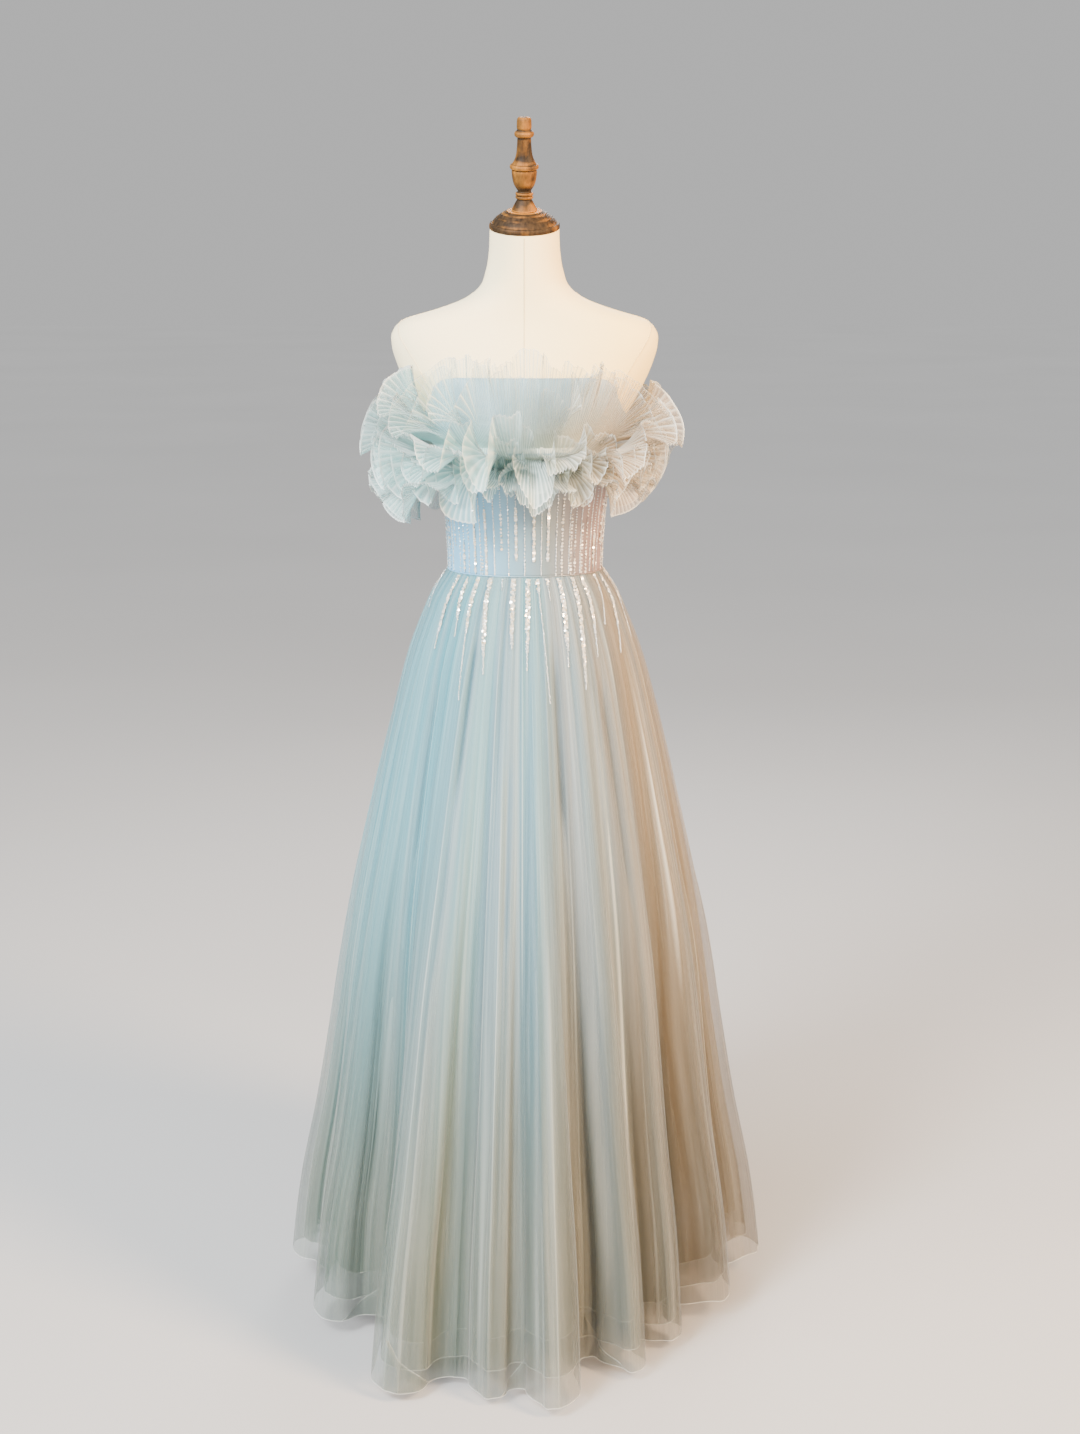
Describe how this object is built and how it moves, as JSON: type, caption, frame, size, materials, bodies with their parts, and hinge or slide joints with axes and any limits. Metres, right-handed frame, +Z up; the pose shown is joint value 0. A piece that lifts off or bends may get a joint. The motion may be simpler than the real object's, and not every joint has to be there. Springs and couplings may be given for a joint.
{
  "type": "a-line prom dress on a dress form",
  "caption": "Strapless floor-length gown with a pleated three-tier ruffle and a gathered tulle skirt, on a limbless dress form with a stand.",
  "frame": {"origin": "centre of the stand base's underside, on the floor", "axes": "+Z up along the stand, -Y towards the front of the dress, +X to the right of a viewer in front of it"},
  "size_m": [0.7016, 0.7722, 1.6932],
  "materials": {
    "form_jersey": "cream cotton jersey, stretched and matt",
    "turned_wood": "dark turned hardwood, worn golden on its edges, satin varnish",
    "stand_steel": "brushed",
    "beaded_satin": "pale blue satin with vertical lines of clear beads and silver sequins",
    "zip_tape": "woven tape in the satin's colour",
    "zip_metal": "painted to match the tape, satin",
    "pleated_organza": "sheer grey-mint organza in fine knife pleats",
    "tulle": "sheer aqua to grey-beige tulle with soft vertical folds",
    "under_tulle": "denser second layer of the same tulle",
    "lining_satin": "pale blue-grey satin lining"
  },
  "bodies": {
    "dressed_form": {"form_torso": "form_jersey", "neck_cap": "turned_wood", "finial": "turned_wood", "stand_pole": "stand_steel", "stand_base": "stand_steel", "bodice_front": "beaded_satin", "bodice_back_left": "beaded_satin", "bodice_back_right": "beaded_satin", "zip_placket": "zip_tape", "zip_slider": "zip_metal", "ruffle_upper_front": "pleated_organza", "ruffle_upper_back_left": "pleated_organza", "ruffle_upper_back_right": "pleated_organza", "ruffle_middle_front": "pleated_organza", "ruffle_middle_back_left": "pleated_organza", "ruffle_middle_back_right": "pleated_organza", "ruffle_lower_front": "pleated_organza", "ruffle_lower_back_left": "pleated_organza", "ruffle_lower_back_right": "pleated_organza", "skirt_front": "tulle", "skirt_back_left": "tulle", "skirt_back_right": "tulle", "under_tulle_front": "under_tulle", "under_tulle_back_left": "under_tulle", "under_tulle_back_right": "under_tulle", "lining_front": "lining_satin", "lining_back": "lining_satin"},
    "zip_pull": {"zip_pull": "zip_metal"}
  },
  "joints": [
    {"name": "zip_pull_swing", "type": "hinge", "parent": "dressed_form", "child": "zip_pull", "pos_m": [0, 0.09687, 1.24561], "axis": [1, 0, 0], "range_deg": [0, 150]}
  ]
}
